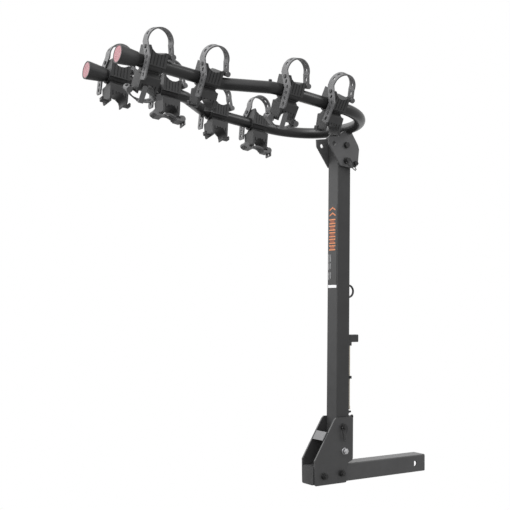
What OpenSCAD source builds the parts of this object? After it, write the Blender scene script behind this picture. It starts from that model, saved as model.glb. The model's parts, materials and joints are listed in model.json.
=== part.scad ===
// Hitch mounted bike rack, four-bike size: a square shank, a tilting mast,
// a folding looped arm tube, eight saddles with straps and eight anti-sway cradles.
// Frame: origin at the hitch pin hole on the shank axis, +X to the vehicle, +Z up.
// All sizes in millimetres.

/* [Shank and base] */
// Shank width across flats (2 inch receiver)
shank_w = 50.8; // [50:0.1:51]
// Shank wall
shank_wall = 4.76; // [3:0.1:6]
// Rear end of the shank, measured back from the pin hole
shank_back = 392; // [380:1:420]
// Front end of the shank ahead of the pin hole
shank_front = 41; // [35:1:60]
// Hitch pin hole radius (for a 5/8 inch pin)
hitch_hole_r = 8.15; // [8:0.05:8.5]
// Thickness of the steel side plates
plate_t = 5; // [4:0.5:6]

/* [Mast] */
// Mast width across flats
mast_w = 47.6; // [46:0.1:48]
// Mast wall
mast_wall = 3; // [2:0.1:4]
// Mast axis behind the pin hole
mast_back = 288; // [286:0.5:290]
// Height of the mast top
mast_top = 971; // [960:1:974]
// Height of the tilt pivot
tilt_z = 63; // [62:0.5:66]
// Height of the arm pivot
fold_z = 951; // [948:0.5:952]

/* [Arms] */
// Arm tube outer radius
tube_r = 16.1; // [15:0.1:16.5]
// Arm tube wall
tube_wall = 2; // [1.5:0.1:3]
// Slope of the arms, degrees
arm_tilt = 5.4; // [4:0.1:6]
// Half distance between the arms at the bike end
arm_y = 91.6; // [88:0.1:95]
// Half distance between the arms at the mast end
loop_y = 173.6; // [170:0.1:176]
// Length of the arms behind the mast axis
arm_len = 771.6; // [765:0.1:790]

/* [Saddles] */
// Half width of a saddle along the arm
sad_w = 27; // [26:0.5:27]
// Half depth of a saddle across the arm
sad_d = 27; // [25:0.5:28]
// Low point of the saddle above the arm axis
sad_low = 24.5; // [24:0.5:30]
// Strap width
strap_w = 25; // [20:0.5:28]
// Strap thickness
strap_t = 3.5; // [2.5:0.1:4]
// Height of the strap loop's centre
loop_z = 55; // [52:0.5:60]

/* [Hidden] */
$fn = 64;
gap = 0.1;
in_y = shank_w / 2 + gap;
out_y = in_y + plate_t;
mast_x = -mast_back;
arm_z = 1003.4;
pin_r = 6;
pin_hole_r = 6.3;
base_pin_x = -292;
base_pin_z = 132;
lock_r = 46;
bolt_r = 5;
bail_turn = 50;
b1 = -477.3;
b2 = -368;
bend_r = 45;
lap = 1.4;
swell = 0.05;
loop_r = 155;
loop_front = 10.9;
jog = atan((loop_y - arm_y) / (b2 - b1));
tan_len = bend_r * tan(jog / 2);
diag = sqrt((loop_y - arm_y) * (loop_y - arm_y) + (b2 - b1) * (b2 - b1)) - 2 * tan_len;
hub_r = 20.8;
hub_w = 22;
arch_x = 5;
arch_r = 34.25;
peg_x = arch_x - arch_r;
bulb_x = arch_x + arch_r + 9;
bulb_z = 28;
// Per arm, from the bike end: place along the arm, lean of the saddle, lean of the cradle
slots_r = [-678, -519, -318, -170];
slots_l = [-687, -534, -326.4, -182];
splay_r = [14, 22, 16, 27];
splay_l = [0, -2, 0, -2];
lean_r = [28, 12, 20, 12];
lean_l = [-10, -14, -12, -8];
foot_z = -76;
lock_y = -12;
cable_y = -17;
screw_y = -15;
steel = [0.10, 0.10, 0.11];
edge = [0.16, 0.16, 0.17];
rub = [0.08, 0.08, 0.08];
band = [0.17, 0.17, 0.17];
zinc = [0.72, 0.72, 0.70];

// Rounded rectangle, centred
module rsq(a, b, r) {
  square([a - 2 * r, b], center = true);
  square([a, b - 2 * r], center = true);
  for (i = [-1, 1]) for (j = [-1, 1]) translate([i * (a / 2 - r), j * (b / 2 - r)]) circle(r);
}

// Cylinder along Y between two Y values
module cyl_y(x, z, y0, y1, r) {
  translate([x, y1, z]) rotate([90, 0, 0]) cylinder(r = r, h = y1 - y0);
}

// Cylinder along X between two X values
module cyl_x(x0, x1, y, z, r) {
  translate([x0, y, z]) rotate([0, 90, 0]) cylinder(r = r, h = x1 - x0);
}

// Plate in the XZ plane from y0 to y1
module plate(pts, y0, y1) {
  translate([0, y1, 0]) rotate([90, 0, 0]) linear_extrude(y1 - y0) polygon(pts);
}

// Hexagon head along Y
module hex_y(x, z, y0, y1, r) {
  translate([x, y1, z]) rotate([90, 0, 0]) cylinder(r = r, h = y1 - y0, $fn = 6);
}

// ---------- base ----------
module shank_tube() {
  color(steel) difference() {
    translate([-shank_back, 0, 0]) rotate([90, 0, 90])
      linear_extrude(shank_back + shank_front) rsq(shank_w, shank_w, 4);
    translate([-shank_back - 1, 0, 0]) rotate([90, 0, 90])
      linear_extrude(shank_back + shank_front + 2) rsq(shank_w - 2 * shank_wall, shank_w - 2 * shank_wall, 2);
    cyl_y(0, 0, -30, 30, hitch_hole_r);
    cyl_y(-362, -2, -30, 30, bolt_r + gap);
    cyl_y(-298, 1, -30, 30, bolt_r + gap);
  }
}

module shank_end_cap() {
  color(rub) {
    translate([-shank_back - 5, 0, 0]) rotate([90, 0, 90]) linear_extrude(4.9) rsq(shank_w, shank_w, 5);
    translate([-shank_back - 0.2, 0, 0]) rotate([90, 0, 90]) linear_extrude(15) difference() {
      rsq(shank_w - 2 * shank_wall - 0.3, shank_w - 2 * shank_wall - 0.3, 2);
      rsq(shank_w - 2 * shank_wall - 6, shank_w - 2 * shank_wall - 6, 2);
    }
  }
}

base_pts = [[-393, -24], [-390, -27], [-283, -27], [-279, -25], [-279, 22], [-270, 30], [-258, 34],
            [-255, 40], [-255, 156], [-258, 159], [-318, 159], [-325, 153], [-395, 43]];

module base_plate(y0, y1) {
  color(steel) difference() {
    plate(base_pts, y0, y1);
    cyl_y(-362, -2, y0 - 1, y1 + 1, bolt_r + gap);
    cyl_y(-298, 1, y0 - 1, y1 + 1, bolt_r + gap);
    cyl_y(mast_x, tilt_z, y0 - 1, y1 + 1, bolt_r + gap);
    cyl_y(base_pin_x, base_pin_z, y0 - 1, y1 + 1, pin_hole_r);
  }
}
module base_plate_right() { base_plate(-out_y, -in_y); }
module base_plate_left() { base_plate(in_y, out_y); }

// Light cross plate between the side plates, lying in the slanted edge
module base_cross_plate() {
  color([0.6, 0.6, 0.6])
    plate([[-362.5, 97], [-348, 120], [-344, 117.5], [-358.5, 94.5]], -in_y + gap, in_y - gap);
}

// Through bolt with hexagon head, washers and nut
module through_bolt(x, z, y_head, y_nut, r) {
  cyl_y(x, z, y_head - 1, y_nut + 4, r);
  hex_y(x, z, y_head - 7.5, y_head - 1.6, r * 1.75);
  cyl_y(x, z, y_head - 1.6, y_head - 0.05, r * 1.9);
  cyl_y(x, z, y_nut + 0.05, y_nut + 1.6, r * 1.9);
  hex_y(x, z, y_nut + 1.6, y_nut + 10, r * 1.75);
  cyl_y(x, z, y_nut + 10, y_nut + 13, r);
}
module shank_bolt_rear() { color(edge) mirror([0, 1, 0]) through_bolt(-362, -2, -out_y, out_y, bolt_r); }
module shank_bolt_front() { color(edge) mirror([0, 1, 0]) through_bolt(-298, 1, -out_y, out_y, bolt_r); }
module tilt_bolt() { color(zinc) mirror([0, 1, 0]) through_bolt(mast_x, tilt_z, -out_y, out_y, bolt_r); }

// ---------- mast ----------
module mast_tube() {
  color(steel) difference() {
    translate([mast_x, 0, 36]) linear_extrude(mast_top - 36) rsq(mast_w, mast_w, 4);
    translate([mast_x, 0, 35]) linear_extrude(mast_top - 34)
      rsq(mast_w - 2 * mast_wall, mast_w - 2 * mast_wall, 2);
    cyl_y(mast_x, tilt_z, -30, 30, bolt_r + gap);
    cyl_y(mast_x, fold_z, -30, 30, bolt_r + gap);
    base_pin_slot();
    top_pin_slot();
  }
}

// Arc slots that let the mast leave its two lock pins, open at the front face
module base_pin_slot() {
  r0 = base_pin_z - tilt_z;
  r1 = sqrt(r0 * r0 + 16);
  translate([mast_x, 30, tilt_z]) rotate([90, 0, 0]) linear_extrude(60) intersection() {
    difference() {
      circle(r1 + pin_hole_r);
      circle(r1 - pin_hole_r);
    }
    polygon([[-4, 50], [-4, 90], [60, 90], [60, 20], [20, 40]]);
  }
  cyl_y(base_pin_x, base_pin_z, -30, 30, pin_hole_r);
}
module top_pin_slot() {
  translate([mast_x, 30, fold_z]) rotate([90, 0, 0]) linear_extrude(60) intersection() {
    difference() {
      circle(lock_r + pin_hole_r);
      circle(lock_r - pin_hole_r);
    }
    polygon([[0, -30], [0, -60], [60, -60], [60, 0]]);
  }
  cyl_y(mast_x, fold_z - lock_r, -30, 30, pin_hole_r);
}

// Nylon washers that centre the mast between the side plates
module mast_washers() {
  color([0.85, 0.85, 0.82]) for (h = [tilt_z, fold_z]) for (s = [-1, 1]) difference() {
    translate([0, s * (mast_w / 2 + 0.75), 0]) cyl_y(mast_x, h, -0.65, 0.65, 14);
    cyl_y(mast_x, h, -30, 30, bolt_r + gap);
  }
}

// D-shaped staple on the front face
module mast_staple() {
  x0 = mast_x + mast_w / 2;
  color(steel) translate([0, -14, 0]) {
    for (z = [506, 540]) cyl_x(x0 + 0.05, x0 + 3.6, 0, z, 3.3);
    translate([x0 + 3, 0, 523]) rotate([90, 0, 0]) difference() {
      rotate_extrude() translate([17, 0]) circle(3);
      translate([-30, -30, -5]) cube([30, 60, 10]);
    }
  }
}

// Decorative panel and band on the rear face
module mast_panel() {
  color([0.09, 0.09, 0.09]) translate([mast_x - mast_w / 2 - 0.65, -19, 542]) cube([0.6, 38, 235]);
}
module mast_band() {
  color([0.92, 0.92, 0.92]) translate([mast_x - mast_w / 2 - 0.65, -19, 532]) cube([0.6, 38, 8.5]);
}

// Cable lock on the front face
module cable_lock() {
  x0 = mast_x + mast_w / 2 + 0.05;
  color(rub) difference() {
    union() {
      translate([x0, lock_y, 385]) rotate([90, 0, 90]) linear_extrude(37) rsq(15, 22, 3);
      translate([x0, cable_y - 4, 364]) cube([10, 17, 15]);
    }
    translate([x0 + 25, lock_y, 385]) rotate([0, 90, 0]) cylinder(r = 6.1, h = 14);
    translate([x0 + 4.5, cable_y, 360]) cylinder(r = 2.6, h = 12);
  }
}
module lock_cylinder() {
  x0 = mast_x + mast_w / 2 + 0.05;
  color(zinc) difference() {
    cyl_x(x0 + 25.1, x0 + 38, lock_y, 385, 6);
    translate([x0 + 34, lock_y - 0.8, 381.5]) cube([6, 1.6, 7]);
  }
}
module lock_cable() {
  x0 = mast_x + mast_w / 2 + 4.55;
  color([0.75, 0.70, 0.60]) translate([0, cable_y, 0]) {
    translate([x0, 0, 184]) cylinder(r = 2.5, h = 187);
    translate([x0, 0, 179]) cylinder(r = 3.6, h = 10);
  }
}
// Cable clip and the small screws below it
module mast_clips() {
  x0 = mast_x + mast_w / 2 + 0.05;
  color(edge) {
    difference() {
      translate([x0, cable_y - 6, 268]) cube([9, 12, 8]);
      translate([x0 + 4.5, cable_y, 260]) cylinder(r = 2.6, h = 30);
    }
    for (z = [172, 158, 146]) cyl_x(x0, x0 + 3, screw_y, z, 6);
    cyl_x(x0, x0 + 12, screw_y, 172, 3);
    cyl_x(x0, x0 + 16, screw_y, 158, 3);
    cyl_x(x0 + 16, x0 + 19, screw_y, 158, 5);
    cyl_x(x0, x0 + 14, screw_y, 146, 3);
  }
}

// ---------- lock pins ----------
// Pin along Y with a head on the right side, drilled across for its wire bail
module lock_pin(x, z, turn) {
  color(edge) difference() {
    union() {
      cyl_y(x, z, -out_y - 12, out_y + 12, pin_r);
      cyl_y(x, z, -out_y - 4, -out_y - 0.4, pin_r + 3.5);
    }
    for (k = [-1, 1]) translate([x, k * (out_y + 8), z]) rotate([0, turn, 0]) cyl_x(-12, 12, 0, 0, 1.6);
  }
}
module base_pin() { lock_pin(base_pin_x, base_pin_z, 0); }
module top_pin() { lock_pin(mast_x, fold_z - lock_r, -bail_turn); }

// Triangular wire bail on the pin head
module pin_bail(x, z, turn) {
  end_x = 10 - 40 * sin(11);
  end_z = -40 * cos(11);
  color(edge) translate([x, -out_y - 8, z]) rotate([0, turn, 0]) {
    cyl_x(-10, 10, 0, 0, 1.4);
    cyl_x(-end_x, end_x, 0, end_z, 1.4);
    for (k = [-1, 1]) {
      translate([k * 10, 0, 0]) sphere(1.6);
      translate([k * 10, 0, 0]) rotate([0, 180 + k * 11, 0]) cylinder(r = 1.4, h = 40);
      translate([k * end_x, 0, end_z]) sphere(1.6);
    }
  }
}
module base_pin_bail() { pin_bail(base_pin_x, base_pin_z, 0); }
module top_pin_bail() { pin_bail(mast_x, fold_z - lock_r, -bail_turn); }

// ---------- arms ----------
module arm_frame() {
  translate([mast_x, 0, arm_z]) rotate([0, arm_tilt, 0]) children();
}
// Straight and bent stretches of the arms: a bend is drawn a hair fatter than the
// straights, which run a little way into it
module rod(x, y, a, len, r) {
  translate([x, y, 0]) rotate([0, 0, a]) translate([-lap, 0, 0]) rotate([0, 90, 0])
    cylinder(r = r, h = len + 2 * lap);
}
module elbow(x, y, rr, a0, sweep, r) {
  translate([x, y, 0]) rotate([0, 0, a0]) rotate_extrude(angle = sweep) translate([rr, 0]) circle(r + swell);
}
module half_path(r) {
  rod(b1 + tan_len * cos(jog), arm_y + tan_len * sin(jog), jog, diag, r);
  rod(b2 + tan_len, loop_y, 0, loop_front - loop_r - b2 - tan_len, r);
  rod(-arm_len + 6 + lap, arm_y, 0, arm_len - 6 - lap + b1 - tan_len, r);
  elbow(b1 - tan_len, arm_y + bend_r, bend_r, -90, jog, r);
  elbow(b2 + tan_len, loop_y - bend_r, bend_r, 90, jog, r);
  elbow(loop_front - loop_r, loop_y - loop_r, loop_r, 0, 90, r);
}
module full_path(r) {
  half_path(r);
  mirror([0, 1, 0]) half_path(r);
  rod(loop_front, -loop_y + loop_r, 90, 2 * (loop_y - loop_r), r);
}
module arm_tube() {
  $fn = 28;
  color(steel) arm_frame() difference() {
    full_path(tube_r);
    full_path(tube_r - tube_wall);
    for (s = [-1, 1]) translate([-arm_len, s * arm_y, 0]) rotate([0, 90, 0])
      cylinder(r = tube_r - tube_wall, h = 20);
  }
}

top_pts = [[-354, 968], [-352, 947], [-308, 889], [-269, 885], [-249, 890], [-242, 905], [-238, 943],
           [-242, 955], [-268, 992], [-280, 998], [-300, 990], [-318, 974]];
module top_plate(y0, y1) {
  color(steel) difference() {
    plate(top_pts, y0, y1);
    arm_frame() rod(loop_front, -loop_y + loop_r, 90, 2 * (loop_y - loop_r), tube_r + 0.05);
    arm_frame() elbow(loop_front - loop_r, loop_y - loop_r, loop_r, 0, 30, tube_r + 0.05);
    arm_frame() elbow(loop_front - loop_r, loop_r - loop_y, loop_r, -30, 30, tube_r + 0.05);
    cyl_y(mast_x, fold_z, y0 - 1, y1 + 1, bolt_r + gap);
    cyl_y(mast_x, fold_z - lock_r, y0 - 1, y1 + 1, pin_hole_r);
    cyl_y(mast_x - lock_r, fold_z, y0 - 1, y1 + 1, pin_hole_r);
    cyl_y(-253, 900, y0 - 1, y1 + 1, 4.1);
  }
}
module top_plate_right() { top_plate(-out_y, -in_y); }
module top_plate_left() { top_plate(in_y, out_y); }
module fold_bolt() { color(edge) through_bolt(mast_x, fold_z, -out_y, out_y, bolt_r); }
module stop_bolt() { color(edge) through_bolt(-253, 900, -out_y, out_y, 4); }

module grip(s) {
  color(rub) arm_frame() translate([-arm_len, s * arm_y, 0]) rotate([0, 90, 0]) difference() {
    union() {
      cylinder(r = 23.5, h = 5);
      translate([0, 0, 5]) cylinder(r1 = 23.5, r2 = 18.6, h = 45);
    }
    translate([0, 0, -1]) cylinder(r = 20.2, h = 3.1);
    translate([0, 0, 5.9]) cylinder(r = tube_r + gap, h = 70);
  }
}
module grip_right() { grip(-1); }
module grip_left() { grip(1); }
module reflector(s) {
  color([0.72, 0.40, 0.42]) arm_frame() translate([-arm_len, s * arm_y, 0]) rotate([0, 90, 0])
    translate([0, 0, 0.3]) cylinder(r = 20, h = 1.7);
}
module reflector_right() { reflector(-1); }
module reflector_left() { reflector(1); }

// Small screw head on top of the right arm and below the left arm
module arm_screws() {
  color(edge) arm_frame() for (k = [-1, 1]) translate([-376, k * 167.3, -k * (tube_r + 2.4)])
    cylinder(r = 4.5, h = 4.4, center = true);
}

// ---------- saddles ----------
module saddle_outline() {
  difference() {
    union() {
      translate([-sad_w, -6]) square([2 * sad_w, sad_low + 13]);
      translate([-sad_w, 0]) square([10, sad_low + 16]);
    }
    translate([1, sad_low + 27]) circle(27);
  }
}
function place(s, i) = (s < 0) ? slots_r[i] : slots_l[i];
module saddle_frame(s, i) {
  a = (s < 0) ? splay_r[i] : splay_l[i];
  arm_frame() translate([place(s, i), s * arm_line(i), 0]) rotate([a, 0, 0]) children();
}
module saddle(s, i) {
  peg_z = sad_low + 11;
  peg_in = sad_w + strap_t + 0.8;
  color(rub) saddle_frame(s, i) difference() {
    union() {
      translate([0, sad_d, 0]) rotate([90, 0, 0]) linear_extrude(2 * sad_d) saddle_outline();
      for (k = [-1, 1]) translate([k * 24.7, 0, 0]) cyl_x(-2.3, 2.3, 0, 0, hub_r);
      cyl_x(-peg_in - 1, -sad_w, s * 10, peg_z, 3.2);
      cyl_x(-peg_in - 2.2, -peg_in, s * 10, peg_z, 5);
      translate([sad_w - 1, -8, bulb_z - 3]) cube([bulb_x - sad_w - 1, 16, 6]);
      translate([bulb_x - 4, -8, bulb_z - 3]) cube([4, 16, 9]);
    }
    cyl_x(-60, 60, 0, 0, tube_r + gap);
    cyl_x(-hub_w - 0.3, hub_w + 0.3, 0, 0, hub_r + 0.4);
    for (k = [-2:2]) for (f = [-1, 1]) translate([k * 9 - 1.2, f * sad_d - 1.3, -3]) cube([2.4, 2.6, 60]);
  }
}
function arm_line(i) = (i < 2) ? arm_y : loop_y;
module saddle_r1() { saddle(-1, 0); }
module saddle_r2() { saddle(-1, 1); }
module saddle_r3() { saddle(-1, 2); }
module saddle_r4() { saddle(-1, 3); }
module saddle_l1() { saddle(1, 0); }
module saddle_l2() { saddle(1, 1); }
module saddle_l3() { saddle(1, 2); }
module saddle_l4() { saddle(1, 3); }

// Top strap: anchored on the front hook, over the loop, pegged on the rear horn,
// with a tail led past the outer side of the arm
module strap_outline() {
  translate([arch_x, loop_z]) difference() {
    circle(arch_r + strap_t / 2);
    circle(arch_r - strap_t / 2);
    translate([-60, -60]) square([120, 60]);
  }
  polygon([[arch_x + arch_r - strap_t / 2, loop_z + 1], [arch_x + arch_r + strap_t / 2, loop_z + 1],
           [bulb_x + strap_t / 2, bulb_z], [bulb_x - strap_t / 2, bulb_z]]);
  translate([bulb_x, bulb_z]) circle(7);
}
tail_pts = [[-12.5, loop_z], [-12.5, 46], [19.5, 6], [19.5, -46], [40, -46], [44.5, -40], [44.5, 12], [12.5, 52],
            [12.5, loop_z]];
tail_holes = [[10, 35.5], [20.5, 23], [31, 9], [32, -6], [32, -20], [32, -34]];
module strap_tail(s) {
  translate([peg_x, 0, 0]) difference() {
    translate([-strap_t / 2, 0, 0]) rotate([90, 0, 90]) linear_extrude(strap_t)
      polygon([for (q = tail_pts) [s * q[0], q[1]]]);
    for (q = tail_holes) strap_hole(0, s * q[0], q[1]);
  }
}
module strap(s, i) {
  color(band) saddle_frame(s, i) {
    strap_tail(s);
    difference() {
      translate([0, strap_w / 2, 0]) rotate([90, 0, 0]) linear_extrude(strap_w) strap_outline();
      translate([bulb_x - 12, -8.3, bulb_z - 3.3]) cube([12.3, 16.6, 9.6]);
      for (a = [22:27:158]) translate([arch_x, 0, loop_z]) rotate([0, -a, 0]) strap_hole(arch_r, 0, 0);
      strap_hole(arch_x + arch_r + 3.6, 0, 44);
    }
  }
}
// Oblong hole across the strap thickness
module strap_hole(x, y, z) {
  translate([x - 4, y, z]) rotate([0, 90, 0]) linear_extrude(8) union() {
    square([3, 7.2], center = true);
    for (k = [-1, 1]) translate([k * 1.5, 0]) circle(3.6);
  }
}
module strap_r1() { strap(-1, 0); }
module strap_r2() { strap(-1, 1); }
module strap_r3() { strap(-1, 2); }
module strap_r4() { strap(-1, 3); }
module strap_l1() { strap(1, 0); }
module strap_l2() { strap(1, 1); }
module strap_l3() { strap(1, 2); }
module strap_l4() { strap(1, 3); }

// ---------- anti-sway cradles ----------
module cradle_frame(s, i) {
  a = (s < 0) ? lean_r[i] : lean_l[i];
  arm_frame() translate([place(s, i), s * arm_line(i), 0]) rotate([a, 0, 0]) children();
}
module foot_outline() {
  difference() {
    polygon([[-hub_w, -10], [-hub_w, -26.5], [-26.8, -28.5], [-25.5, foot_z + 6], [-24, foot_z], [24, foot_z],
             [25.5, foot_z + 6], [26.8, -28.5], [hub_w, -26.5], [hub_w, -10]]);
    translate([0, foot_z + 5]) circle(21);
  }
}
module hook_outline() {
  translate([22, foot_z + 1]) square([17, 5.5]);
  translate([36, foot_z + 3.8]) square([5.5, 6]);
  translate([38.7, foot_z + 10]) circle(3.2);
  translate([38.75, foot_z + 3.75]) circle(2.75);
}
module cradle_solid() {
  difference() {
    union() {
      cyl_x(-hub_w, hub_w, 0, 0, hub_r);
      intersection() {
        translate([0, 40, 0]) rotate([90, 0, 0]) linear_extrude(80) foot_outline();
        rotate([90, 0, 90]) translate([0, 0, -40]) linear_extrude(80)
          polygon([[-11, -8], [-11, -19], [-14, -21.6], [-24, -30], [-20, -90],
                   [20, -90], [24, -30], [14, -21.6], [11, -19], [11, -8]]);
      }
      for (k = [0, 1]) mirror([k, 0, 0]) translate([0, 6, 0]) rotate([90, 0, 0]) linear_extrude(12) hook_outline();
    }
    cyl_x(-60, 60, 0, 0, tube_r + 0.3);
    for (k = [-2:2]) for (f = [-1, 1]) translate([k * 9 - 1.2, f * 22.4 - 1.4, foot_z + 10])
      rotate([f * 3.75, 0, 0]) cube([2.4, 2.8, 36]);
  }
}
module cradle(s, i) { color(rub) cradle_frame(s, i) cradle_solid(); }
module cradle_r1() { cradle(-1, 0); }
module cradle_r2() { cradle(-1, 1); }
module cradle_r3() { cradle(-1, 2); }
module cradle_r4() { cradle(-1, 3); }
module cradle_l1() { cradle(1, 0); }
module cradle_l2() { cradle(1, 1); }
module cradle_l3() { cradle(1, 2); }
module cradle_l4() { cradle(1, 3); }

// Lower strap that hangs below the cradle, with a pull tab
belly_r = 60.5;
hang_z = foot_z - 19;
module belly_outline() {
  translate([0, hang_z + belly_r]) difference() {
    circle(belly_r + strap_t / 2);
    circle(belly_r - strap_t / 2);
    translate([-90, -46]) square([180, 180]);
  }
  for (k = [-1, 1]) translate([k * 41, foot_z + 2.5]) circle(8.2);
}
// Pocket in each strap end for the hook it is pulled over
module hook_pockets() {
  for (k = [-1, 1]) translate([k * 39 - 9, -6.3, foot_z + 0.7]) cube([18, 12.6, 30]);
}
module belly_strap(s, i) {
  color(band) cradle_frame(s, i) {
    difference() {
      translate([0, strap_w / 2, 0]) rotate([90, 0, 0]) linear_extrude(strap_w) belly_outline();
      hook_pockets();
      for (a = [-24:12:24]) translate([0, 0, hang_z + belly_r]) rotate([0, 90 + a, 0]) strap_hole(belly_r, 0, 0);
    }
    translate([-16, -28.5, hang_z - 1]) cube([13, 17, 3]);
    translate([-16, -28.5, hang_z - 1]) cube([13, 3.4, 38]);
    cyl_y(-9.5, hang_z + 37, -28.5, -25.1, 6.5);
  }
}
module lower_strap_r1() { belly_strap(-1, 0); }
module lower_strap_r3() { belly_strap(-1, 2); }

// Lower strap drawn up under the cradle, with a hanging end
module arch_outline() {
  translate([0, foot_z - 24]) difference() {
    circle(31);
    circle(27.5);
    translate([-60, -78]) square([120, 98]);
  }
  for (k = [-1, 1]) translate([k * 41, foot_z + 2]) circle(8);
  for (k = [0, 1]) mirror([k, 0])
    polygon([[18.7, foot_z - 3.6], [21, foot_z - 7.5], [40, foot_z - 8], [46, foot_z - 2], [33, foot_z - 0.6],
             [24, foot_z - 1.5]]);
}
module arch_strap(s, i) {
  color(band) cradle_frame(s, i) difference() {
    union() {
      translate([0, strap_w / 2, 0]) rotate([90, 0, 0]) linear_extrude(strap_w) arch_outline();
      translate([44, -12.5, foot_z - 16]) cube([3.5, 25, 20]);
    }
    hook_pockets();
    for (a = [-22:22:22]) translate([0, 0, foot_z - 24]) rotate([0, -90 + a, 0]) strap_hole(29.25, 0, 0);
    strap_hole(45.75, 0, foot_z - 10);
  }
}
module lower_strap_l2() { arch_strap(1, 1); }
module lower_strap_l4() { arch_strap(1, 3); }

shank_tube();
shank_end_cap();
base_plate_right();
base_plate_left();
base_cross_plate();
shank_bolt_rear();
shank_bolt_front();
tilt_bolt();
mast_tube();
mast_washers();
mast_staple();
mast_panel();
mast_band();
cable_lock();
lock_cylinder();
lock_cable();
mast_clips();
base_pin();
base_pin_bail();
top_pin();
top_pin_bail();
arm_tube();
top_plate_right();
top_plate_left();
fold_bolt();
stop_bolt();
grip_right();
grip_left();
reflector_right();
reflector_left();
arm_screws();
saddle_r1();
saddle_r2();
saddle_r3();
saddle_r4();
saddle_l1();
saddle_l2();
saddle_l3();
saddle_l4();
strap_r1();
strap_r2();
strap_r3();
strap_r4();
strap_l1();
strap_l2();
strap_l3();
strap_l4();
cradle_r1();
cradle_r2();
cradle_r3();
cradle_r4();
cradle_l1();
cradle_l2();
cradle_l3();
cradle_l4();
lower_strap_r1();
lower_strap_r3();
lower_strap_l2();
lower_strap_l4();
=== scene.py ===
"""Looks for the hitch mounted bike rack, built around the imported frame."""
import json
import math

import bpy
from mathutils import Matrix, Vector


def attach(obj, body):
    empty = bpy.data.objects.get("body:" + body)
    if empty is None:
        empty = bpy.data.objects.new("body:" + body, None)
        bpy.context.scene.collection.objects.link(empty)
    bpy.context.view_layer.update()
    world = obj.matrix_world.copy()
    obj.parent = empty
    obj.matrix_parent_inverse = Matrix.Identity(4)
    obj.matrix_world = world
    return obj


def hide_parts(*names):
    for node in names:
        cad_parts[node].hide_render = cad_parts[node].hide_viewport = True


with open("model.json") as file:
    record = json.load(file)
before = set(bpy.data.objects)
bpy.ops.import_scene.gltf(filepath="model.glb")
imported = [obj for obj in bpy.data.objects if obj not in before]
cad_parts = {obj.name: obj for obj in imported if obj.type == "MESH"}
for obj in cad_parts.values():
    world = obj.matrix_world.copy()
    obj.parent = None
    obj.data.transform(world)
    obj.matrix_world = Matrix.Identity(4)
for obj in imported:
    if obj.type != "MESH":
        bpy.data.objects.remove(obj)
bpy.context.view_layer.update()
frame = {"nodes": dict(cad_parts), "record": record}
NODES = frame["nodes"]

# ---------- camera ----------
YAW, PITCH, ROLL = math.radians(-34.414), math.radians(3.187), math.radians(0.708)
EYE = Vector((-1.95166, -1.99222, 0.48225))
LENS = 62.07
SENSOR = 36
FAR_CLIP = 60


def make_camera():
    right = Vector((math.cos(YAW), math.sin(YAW), 0))
    ahead = Vector((-math.sin(YAW), math.cos(YAW), 0))
    look = ahead * math.cos(PITCH) + Vector((0, 0, 1)) * math.sin(PITCH)
    up = -ahead * math.sin(PITCH) + Vector((0, 0, 1)) * math.cos(PITCH)
    x = right * math.cos(ROLL) + up * math.sin(ROLL)
    y = -right * math.sin(ROLL) + up * math.cos(ROLL)
    data = bpy.data.cameras.new("photo_camera")
    data.lens, data.sensor_width = LENS, SENSOR
    data.clip_end = FAR_CLIP
    cam = bpy.data.objects.new("photo_camera", data)
    cam.matrix_world = Matrix((
        (x.x, y.x, -look.x, EYE.x),
        (x.y, y.y, -look.y, EYE.y),
        (x.z, y.z, -look.z, EYE.z),
        (0, 0, 0, 1)))
    bpy.context.collection.objects.link(cam)
    bpy.context.scene.camera = cam


make_camera()


# ---------- materials ----------
EDGE_ROUND = 0.0007
GRAIN_DEPTH = 0.0006
PRISM_DEPTH = 0.001
# Near black for the bore of the shank tube: painted shade inside the tube.
BORE_PAINTED_SHADE = (0.004, 0.004, 0.004, 1)
SHANK_BORE_HALF = 0.0213
# Sockets of the Mix node, by number, because its float and colour sockets share their names
MIX_FACTOR = 0
MIX_FLOAT_A, MIX_FLOAT_B, MIX_FLOAT_OUT = 2, 3, 0
MIX_COLOUR_A, MIX_COLOUR_B, MIX_COLOUR_OUT = 6, 7, 2


def new_material(name):
    mat = bpy.data.materials.new(name)
    mat.use_nodes = True
    tree = mat.node_tree
    return mat, tree, tree.nodes["Principled BSDF"]


def add(tree, kind, **inputs):
    node = tree.nodes.new(kind)
    for key, value in inputs.items():
        node.inputs[key.replace("_", " ")].default_value = value
    return node


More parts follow.
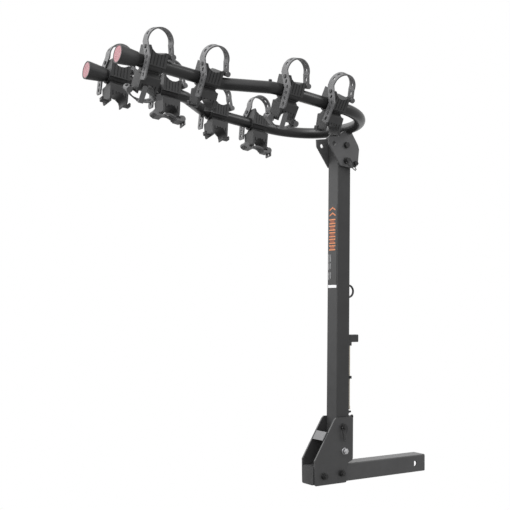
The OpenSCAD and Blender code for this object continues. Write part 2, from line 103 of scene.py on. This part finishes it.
def grainy(name, dark, light, rough, grain=900, bump=0.12, patch=18, spread=0.06):
    """A coated surface: fine grain and softened edges in the normal, slow patches in colour and roughness."""
    mat, tree, bsdf = new_material(name)
    link = tree.links.new
    where = tree.nodes.new("ShaderNodeTexCoord")
    fine = add(tree, "ShaderNodeTexNoise", Scale=grain, Detail=3.0, Roughness=0.6)
    slow = add(tree, "ShaderNodeTexNoise", Scale=patch, Detail=4.0, Roughness=0.65)
    link(where.outputs["Object"], fine.inputs["Vector"])
    link(where.outputs["Object"], slow.inputs["Vector"])
    ramp = tree.nodes.new("ShaderNodeValToRGB")
    ramp.color_ramp.elements[0].position, ramp.color_ramp.elements[1].position = 0.3, 0.7
    ramp.color_ramp.elements[0].color = (*dark, 1)
    ramp.color_ramp.elements[1].color = (*light, 1)
    link(slow.outputs["Fac"], ramp.inputs["Fac"])
    link(ramp.outputs["Color"], bsdf.inputs["Base Color"])
    span = add(tree, "ShaderNodeMapRange")
    span.inputs["To Min"].default_value = rough - spread
    span.inputs["To Max"].default_value = rough + spread
    link(slow.outputs["Fac"], span.inputs["Value"])
    link(span.outputs["Result"], bsdf.inputs["Roughness"])
    soft_edge = add(tree, "ShaderNodeBevel", Radius=EDGE_ROUND)
    relief = add(tree, "ShaderNodeBump", Strength=bump, Distance=GRAIN_DEPTH)
    relief.name = "relief"
    link(soft_edge.outputs["Normal"], relief.inputs["Normal"])
    link(fine.outputs["Fac"], relief.inputs["Height"])
    link(relief.outputs["Normal"], bsdf.inputs["Normal"])
    return mat


def metal(name, dark, light, rough):
    mat = grainy(name, dark, light, rough, grain=400, bump=0.05, patch=60, spread=0.08)
    mat.node_tree.nodes["Principled BSDF"].inputs["Metallic"].default_value = 1.0
    return mat


def prismatic(name, dark, light):
    """Red plastic moulded with small prisms."""
    mat = grainy(name, dark, light, 0.3)
    tree = mat.node_tree
    where = tree.nodes.new("ShaderNodeTexCoord")
    cells = add(tree, "ShaderNodeTexVoronoi", Scale=420.0)
    tree.links.new(where.outputs["Object"], cells.inputs["Vector"])
    relief = tree.nodes["relief"]
    relief.inputs["Strength"].default_value = 0.7
    relief.inputs["Distance"].default_value = PRISM_DEPTH
    tree.links.new(cells.outputs["Distance"], relief.inputs["Height"])
    return mat


def stranded(name, dark, light):
    """Steel strands that show through a clear sleeve."""
    mat = grainy(name, dark, light, 0.3)
    tree = mat.node_tree
    where = tree.nodes.new("ShaderNodeTexCoord")
    lay = tree.nodes.new("ShaderNodeMapping")
    lay.inputs["Rotation"].default_value = (math.radians(35), math.radians(35), 0)
    strands = add(tree, "ShaderNodeTexWave", Scale=170.0, Distortion=0.5)
    tree.links.new(where.outputs["Object"], lay.inputs["Vector"])
    tree.links.new(lay.outputs["Vector"], strands.inputs["Vector"])
    ramp = tree.nodes["Color Ramp"]
    tree.links.new(strands.outputs["Fac"], ramp.inputs["Fac"])
    tree.nodes["Principled BSDF"].inputs["Coat Weight"].default_value = 0.6
    return mat


def hollow(name, dark, light, rough, half):
    """Powder coat outside, and bare steel in the bore of a square tube along X, made near black there as
    painted shade.
    """
    mat = grainy(name, dark, light, rough)
    tree = mat.node_tree
    link = tree.links.new
    bsdf = tree.nodes["Principled BSDF"]
    where = tree.nodes.new("ShaderNodeTexCoord")
    axes = tree.nodes.new("ShaderNodeSeparateXYZ")
    link(where.outputs["Object"], axes.inputs["Vector"])
    inside = []
    for axis in ("Y", "Z"):
        size = add(tree, "ShaderNodeMath")
        size.operation = "ABSOLUTE"
        link(axes.outputs[axis], size.inputs[0])
        within = add(tree, "ShaderNodeMath")
        within.operation = "LESS_THAN"
        within.inputs[1].default_value = half
        link(size.outputs["Value"], within.inputs[0])
        inside.append(within)
    both = add(tree, "ShaderNodeMath")
    both.operation = "MULTIPLY"
    link(inside[0].outputs["Value"], both.inputs[0])
    link(inside[1].outputs["Value"], both.inputs[1])
    # Painted shade: a near black base colour wherever the point lies inside the bore.
    colour = tree.nodes.new("ShaderNodeMix")
    colour.data_type = "RGBA"
    link(both.outputs["Value"], colour.inputs[MIX_FACTOR])
    link(tree.nodes["Color Ramp"].outputs["Color"], colour.inputs[MIX_COLOUR_A])
    colour.inputs[MIX_COLOUR_B].default_value = BORE_PAINTED_SHADE
    link(colour.outputs[MIX_COLOUR_OUT], bsdf.inputs["Base Color"])
    dull = tree.nodes.new("ShaderNodeMix")
    dull.data_type = "FLOAT"
    link(both.outputs["Value"], dull.inputs[MIX_FACTOR])
    link(tree.nodes["Map Range"].outputs["Result"], dull.inputs[MIX_FLOAT_A])
    dull.inputs[MIX_FLOAT_B].default_value = 1.0
    link(dull.outputs[MIX_FLOAT_OUT], bsdf.inputs["Roughness"])
    return mat


def grey(level):
    """A neutral colour with a trace of blue."""
    return (level, level, level * 1.02)


POWDER = grainy("powder_black", grey(0.028), grey(0.036), 0.40)
# Painted light and shade: the same black powder coat in lit and shaded copies. The tube copy is darker, and
# the plate, base and shank copies are lighter, to stand in for how light falls on each part.
POWDER_TUBE_SHADED = grainy("powder_black_tube_painted_shade", grey(0.014), grey(0.022), 0.33)
POWDER_PLATE_LIT = grainy("powder_black_plate_painted_light", grey(0.090), grey(0.105), 0.45)
POWDER_BASE_LIT = grainy("powder_black_base_painted_light", grey(0.046), grey(0.056), 0.42)
POWDER_SHANK_LIT_BORE_SHADED = hollow("powder_black_shank_painted_light_bore_shade", grey(0.058), grey(0.070), 0.38, SHANK_BORE_HALF)
RUBBER = grainy("rubber_moulded", grey(0.028), grey(0.042), 0.55, grain=500, bump=0.2, patch=40)
STRAP = grainy("rubber_strap", grey(0.105), grey(0.140), 0.5, grain=350, bump=0.15, patch=40)
GREY = grainy("grey_steel", grey(0.13), grey(0.17), 0.5)
DARK_BOLT = grainy("bolt_black", grey(0.012), grey(0.024), 0.35, grain=300)
ZINC = metal("zinc_plate", grey(0.50), grey(0.70), 0.3)
WIRE = metal("spring_wire", grey(0.06), grey(0.12), 0.35)
NYLON = grainy("nylon", (0.30, 0.29, 0.27), (0.38, 0.37, 0.35), 0.5)
PANEL = grainy("panel_vinyl", grey(0.030), grey(0.038), 0.38, bump=0.03)
WHITE = grainy("band_vinyl", grey(0.80), grey(0.88), 0.35, bump=0.03)
ORANGE = grainy("print_orange", (0.66, 0.21, 0.08), (0.78, 0.28, 0.11), 0.4, bump=0.03)
BROWN = grainy("print_brown", (0.22, 0.065, 0.03), (0.28, 0.08, 0.04), 0.4, bump=0.03)
PALE = grainy("print_grey", grey(0.30), grey(0.42), 0.4, bump=0.03)
CABLE = stranded("cable_sleeve", (0.40, 0.34, 0.26), (0.62, 0.57, 0.47))
REFLECTOR = prismatic("reflector_red", (0.30, 0.10, 0.12), (0.41, 0.155, 0.18))

BY_SLOT = {
    "black_steel": POWDER, "grey_steel": GREY, "dark_bolt": DARK_BOLT, "zinc": ZINC, "wire": WIRE,
    "nylon": NYLON, "rubber_black": RUBBER, "strap_rubber": STRAP, "panel": PANEL, "white_band": WHITE,
    "lock_plastic": RUBBER, "cable_vinyl": CABLE, "reflector": REFLECTOR,
}
# Per-part overrides that hand out the painted lit and shaded copies of the powder coat.
BY_NODE = {
    "top_plate_right": POWDER_PLATE_LIT, "top_plate_left": POWDER_PLATE_LIT, "shank_tube": POWDER_SHANK_LIT_BORE_SHADED,
    "arm_tube": POWDER_TUBE_SHADED, "base_plate_right": POWDER_BASE_LIT, "base_plate_left": POWDER_BASE_LIT,
}
SLOT_OF = {s["node"]: s["material_slot"] for s in frame["record"]["subparts"]}


def dress_nodes():
    for name, obj in NODES.items():
        for slot in obj.material_slots:
            slot.material = BY_NODE.get(name, BY_SLOT[SLOT_OF[name]])


dress_nodes()

# ---------- arm tube, swept smooth ----------
MAST_X, ARM_Z, ARM_TILT = -0.288, 1.0034, math.radians(5.4)
ARM_LEN, TUBE_R = 0.7716, 0.0161
REAR_Y, WIDE_Y = 0.0916, 0.1736
BEND_1, BEND_2, BEND_R = -0.4773, -0.368, 0.045
LOOP_R, LOOP_FRONT = 0.155, 0.0109
# The swept tube ends this far inside each grip
END_INSET = 0.006
BEND_STEPS, LOOP_STEPS = 12, 30


def to_row(along, side, above=0.0):
    """From the arms' own frame, along, across and above the tube, to the row frame."""
    return Vector((MAST_X + along * math.cos(ARM_TILT) + above * math.sin(ARM_TILT), side,
                   ARM_Z - along * math.sin(ARM_TILT) + above * math.cos(ARM_TILT)))


def arc(cx, cy, radius, start, sweep, steps):
    """Points on an arc, angles in degrees."""
    angles = [math.radians(start + sweep * k / steps) for k in range(steps + 1)]
    return [(cx + radius * math.cos(a), cy + radius * math.sin(a)) for a in angles]


def half_path():
    """The left half of the arm tube, along and across, from its rear end to the front of the loop."""
    jog = math.degrees(math.atan((WIDE_Y - REAR_Y) / (BEND_2 - BEND_1)))
    tangent = BEND_R * math.tan(math.radians(jog / 2))
    first = arc(BEND_1 - tangent, REAR_Y + BEND_R, BEND_R, -90, jog, BEND_STEPS)
    second = arc(BEND_2 + tangent, WIDE_Y - BEND_R, BEND_R, 90 + jog, -jog, BEND_STEPS)
    loop = arc(LOOP_FRONT - LOOP_R, WIDE_Y - LOOP_R, LOOP_R, 90, -90, LOOP_STEPS)
    return [(-ARM_LEN + END_INSET, REAR_Y)] + first + second + loop


def sweep(name, spots, radius, material, cyclic=False):
    """A round bar along the given points."""
    data = bpy.data.curves.new(name, "CURVE")
    data.dimensions = "3D"
    data.bevel_depth, data.bevel_resolution = radius, 10
    line = data.splines.new("POLY")
    line.points.add(len(spots) - 1)
    for point, spot in zip(line.points, spots):
        point.co = (*spot, 1)
    line.use_cyclic_u = cyclic
    line.use_smooth = True
    data.materials.append(material)
    obj = bpy.data.objects.new(name, data)
    bpy.context.collection.objects.link(obj)
    return obj


def make_arm_sweep():
    left = half_path()
    path = left + [(x, -y) for x, y in reversed(left)]
    tube = sweep("arm_tube_swept", [to_row(x, y) for x, y in path], TUBE_R, POWDER_TUBE_SHADED)
    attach(tube, "arms")
    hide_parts("arm_tube")


make_arm_sweep()


# ---------- welds ----------
# A ring of weld round the loop on the outer face of each top plate
RING_START, RING_SWEEP, RING_STEPS = -148, 98, 24
RING_Y, RING_BEAD = 0.0310, 0.0016
# A straight weld down each end of the cross plate
CROSS_START, CROSS_RUN, CROSS_STEPS = (-0.3625, 0.0975), (0.0145, 0.0230), 8
CROSS_Y, CROSS_BEAD = 0.0248, 0.0011


def weld(name, spots, radius, body):
    bead = sweep(name, spots, radius, POWDER)
    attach(bead, body)


def make_welds():
    hub = to_row(LOOP_FRONT, 0)
    for tag, side in (("right", -1), ("left", 1)):
        ring = []
        for k in range(RING_STEPS + 1):
            a = math.radians(RING_START + RING_SWEEP * k / RING_STEPS)
            r = TUBE_R + 0.0004 + 0.0003 * math.sin(k * 2.1)
            ring.append((hub.x + r * math.cos(a), side * RING_Y, hub.z + r * math.sin(a)))
        weld("weld_top_" + tag, ring, RING_BEAD, "arms")
        line = []
        for k in range(CROSS_STEPS + 1):
            x = CROSS_START[0] + CROSS_RUN[0] * k / CROSS_STEPS
            z = CROSS_START[1] + CROSS_RUN[1] * k / CROSS_STEPS
            line.append((x, side * CROSS_Y, z))
        weld("weld_cross_" + tag, line, CROSS_BEAD, "base")


make_welds()

# ---------- print on the mast panel ----------
PANEL_FACE = -0.31262
MM = 1000
CHEVRON_LOWS = (742, 758)
BLOCK_COUNT, BLOCK_TOP, BLOCK_PITCH = 5, 719, 19.3
STRIPE_STEPS, STRIPE_HEIGHT = (0, 11.5), 3.2
DASH_TOP, DASH_PITCH, DASH_LENGTHS = 630, 26, (24, 20, 22)


def flat(name, shapes, material):
    """Thin printed shapes on the panel, each a list of (across, height) corners in millimetres."""
    corners, faces = [], []
    for shape in shapes:
        faces.append(list(range(len(corners), len(corners) + len(shape))))
        corners += [(PANEL_FACE, y / MM, z / MM) for y, z in shape]
    mesh = bpy.data.meshes.new(name)
    mesh.from_pydata(corners, [], faces)
    mesh.materials.append(material)
    obj = bpy.data.objects.new(name, mesh)
    bpy.context.collection.objects.link(obj)
    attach(obj, "mast")


def make_print():
    chevrons = []
    for z in CHEVRON_LOWS:
        chevrons.append([(14, z), (0, z + 7), (0, z + 11), (14, z + 4)])
        chevrons.append([(0, z + 7), (-13, z), (-13, z + 4), (0, z + 11)])
    flat("print_chevrons", chevrons, ORANGE)
    stripes, fills = [], []
    for k in range(BLOCK_COUNT):
        low = BLOCK_TOP - BLOCK_PITCH * k
        for step in STRIPE_STEPS:
            z = low + step
            stripes.append([(15, z), (-13, z), (-13, z + STRIPE_HEIGHT), (15, z + STRIPE_HEIGHT)])
        fills.append([(11, low + 4.2), (-9, low + 4.2), (-9, low + 10.5), (11, low + 10.5)])
    flat("print_stripes", stripes, ORANGE)
    flat("print_fills", fills, BROWN)
    dashes = []
    for k, length in enumerate(DASH_LENGTHS):
        top = DASH_TOP - DASH_PITCH * k
        dashes.append([(17, top - length), (14, top - length), (14, top), (17, top)])
        dashes.append([(9, top - length + 3), (7, top - length + 3), (7, top), (9, top)])
    flat("print_dashes", dashes, PALE)


make_print()


# ---------- stage ----------
# Level directions as the camera sees them
AHEAD = (0.565, 0.825, 0.0)
LEFTWARD = (-0.825, 0.565, 0.0)
UPWARD = (0, 0, 1)


def make_world():
    """White ahead of the camera, darker at the sides, with the left side brighter further up."""
    world = bpy.data.worlds.new("studio")
    bpy.context.scene.world = world
    world.use_nodes = True
    tree = world.node_tree
    link = tree.links.new
    where = tree.nodes.new("ShaderNodeTexCoord")

    def along(axis, low, high, at_low, at_high):
        dot = tree.nodes.new("ShaderNodeVectorMath")
        dot.operation = "DOT_PRODUCT"
        dot.inputs[1].default_value = axis
        link(where.outputs["Generated"], dot.inputs[0])
        span = add(tree, "ShaderNodeMapRange")
        for key, value in (("From Min", low), ("From Max", high), ("To Min", at_low), ("To Max", at_high)):
            span.inputs[key].default_value = value
        link(dot.outputs["Value"], span.inputs["Value"])
        return span.outputs["Result"]

    def blend(factor, one, two):
        mix = tree.nodes.new("ShaderNodeMix")
        mix.data_type = "FLOAT"
        link(factor, mix.inputs[MIX_FACTOR])
        link(one, mix.inputs[MIX_FLOAT_A])
        link(two, mix.inputs[MIX_FLOAT_B])
        return mix.outputs[MIX_FLOAT_OUT]

    left = along(UPWARD, -0.18, 0.22, 0.12, 2.3)
    right = along(UPWARD, -0.6, 0.6, 0.50, 0.75)
    sides = blend(along(LEFTWARD, -0.2, 0.5, 0.0, 1.0), right, left)
    white = tree.nodes.new("ShaderNodeValue").outputs["Value"]
    white.default_value = 1.0
    level = blend(along(AHEAD, 0.55, 0.85, 0.0, 1.0), sides, white)
    link(level, tree.nodes["Background"].inputs["Color"])


def area_light(name, place, aim, size, power):
    """A square soft light at place, turned to aim."""
    data = bpy.data.lights.new(name, "AREA")
    data.shape, data.size, data.energy = "SQUARE", size, power
    obj = bpy.data.objects.new(name, data)
    obj.location = place
    obj.rotation_euler = (Vector(aim) - Vector(place)).to_track_quat("-Z", "Y").to_euler()
    bpy.context.collection.objects.link(obj)


make_world()
area_light("key", (-2.6, -0.2, 3.0), (-0.5, 0, 0.8), 1.6, 32)
area_light("rim", (1.2, -1.8, 2.6), (-0.4, 0, 0.5), 1.2, 18)
bpy.context.scene.view_settings.view_transform = "Standard"
